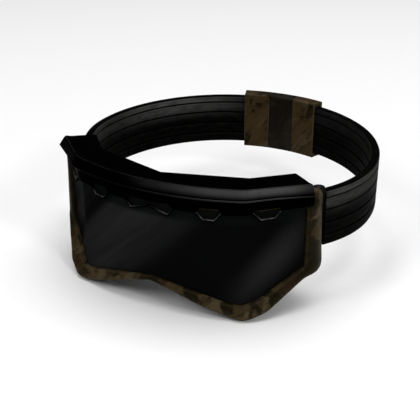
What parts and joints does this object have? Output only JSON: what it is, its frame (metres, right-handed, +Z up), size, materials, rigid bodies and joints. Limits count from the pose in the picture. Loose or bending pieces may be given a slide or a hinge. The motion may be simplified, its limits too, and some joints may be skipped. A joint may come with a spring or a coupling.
{
  "type": "goggles",
  "caption": "Full-face protective goggles with a smoke double lens, gloss brow guard and a ribbed rubber strap closed by a press-button clasp at the back.",
  "frame": {"origin": "under the middle of the bounding box, on the level of the bezel's two lowest edges, with the frame's posts upright", "axes": "-Y the way the goggles face, +Z up, +X the wearer's left"},
  "size_m": [0.2082, 0.2206, 0.0871],
  "materials": {
    "camouflage_plastic": "semi-matt moulded plastic with a tan, brown and olive camouflage pattern",
    "dark_plastic": "semi-matt dark brown-grey mottled plastic",
    "gloss_black": "gloss black",
    "frame_black": "satin black",
    "smoke_lens": "near-opaque smoke polycarbonate, polished",
    "clear_lens": "clear anti-fog sheet",
    "strap_rubber": "ribbed black rubber with a soft sheen",
    "foam": "open-cell foam",
    "fleece": "brushed fleece",
    "steel": "stainless"
  },
  "bodies": {
    "frame": {"front_bezel": "camouflage_plastic", "rear_frame": "frame_black", "lens_outer": "smoke_lens", "lens_spacer": "foam", "lens_inner": "clear_lens", "brow_guard": "gloss_black", "top_vent_filter": "foam", "bottom_vent_filter_left": "foam", "bottom_vent_filter_right": "foam", "face_foam": "foam", "face_lining": "fleece", "strap_bracket_left": "frame_black", "strap_bracket_right": "frame_black", "bracket_screw_left_1": "steel", "bracket_screw_left_2": "steel", "bracket_screw_right_1": "steel", "bracket_screw_right_2": "steel", "strap_pin_left": "steel", "strap_pin_right": "steel"},
    "strap_half_left": {"strap_left": "strap_rubber", "strap_end_left": "frame_black", "clasp_inner_left": "camouflage_plastic", "clasp_outer_left": "camouflage_plastic", "clasp_screw_left_1": "steel", "clasp_screw_left_2": "steel", "clasp_screw_left_3": "steel", "clasp_socket_inner": "dark_plastic", "clasp_socket_outer": "dark_plastic", "clasp_link": "frame_black", "button_spring_upper": "steel", "button_spring_lower": "steel"},
    "strap_half_right": {"strap_right": "strap_rubber", "strap_end_right": "frame_black", "clasp_inner_right": "camouflage_plastic", "clasp_outer_right": "camouflage_plastic", "clasp_screw_right_1": "steel", "clasp_screw_right_2": "steel", "clasp_screw_right_3": "steel", "clasp_tongue": "frame_black"},
    "button": {"release_button": "dark_plastic"}
  },
  "joints": [
    {"name": "strap_left_swing", "type": "hinge", "parent": "frame", "child": "strap_half_left", "pos_m": [0.0843, -0.0444, 0.0528], "axis": [0, 0, -1], "range_deg": [0, 75]},
    {"name": "strap_right_swing", "type": "hinge", "parent": "frame", "child": "strap_half_right", "pos_m": [-0.0843, -0.0444, 0.0528], "axis": [0, 0, 1], "range_deg": [0, 75]},
    {"name": "release_button_press", "type": "slide", "parent": "strap_half_left", "child": "button", "axis": [0, -1, 0], "range_m": [0, 0.0015], "stiffness_N_per_m": 2000, "springref_m": -0.0005, "deforming": ["button_spring_upper", "button_spring_lower"]}
  ],
  "couplings": [
    {"joint": "strap_right_swing", "follows": "strap_left_swing", "ratio": 1}
  ]
}
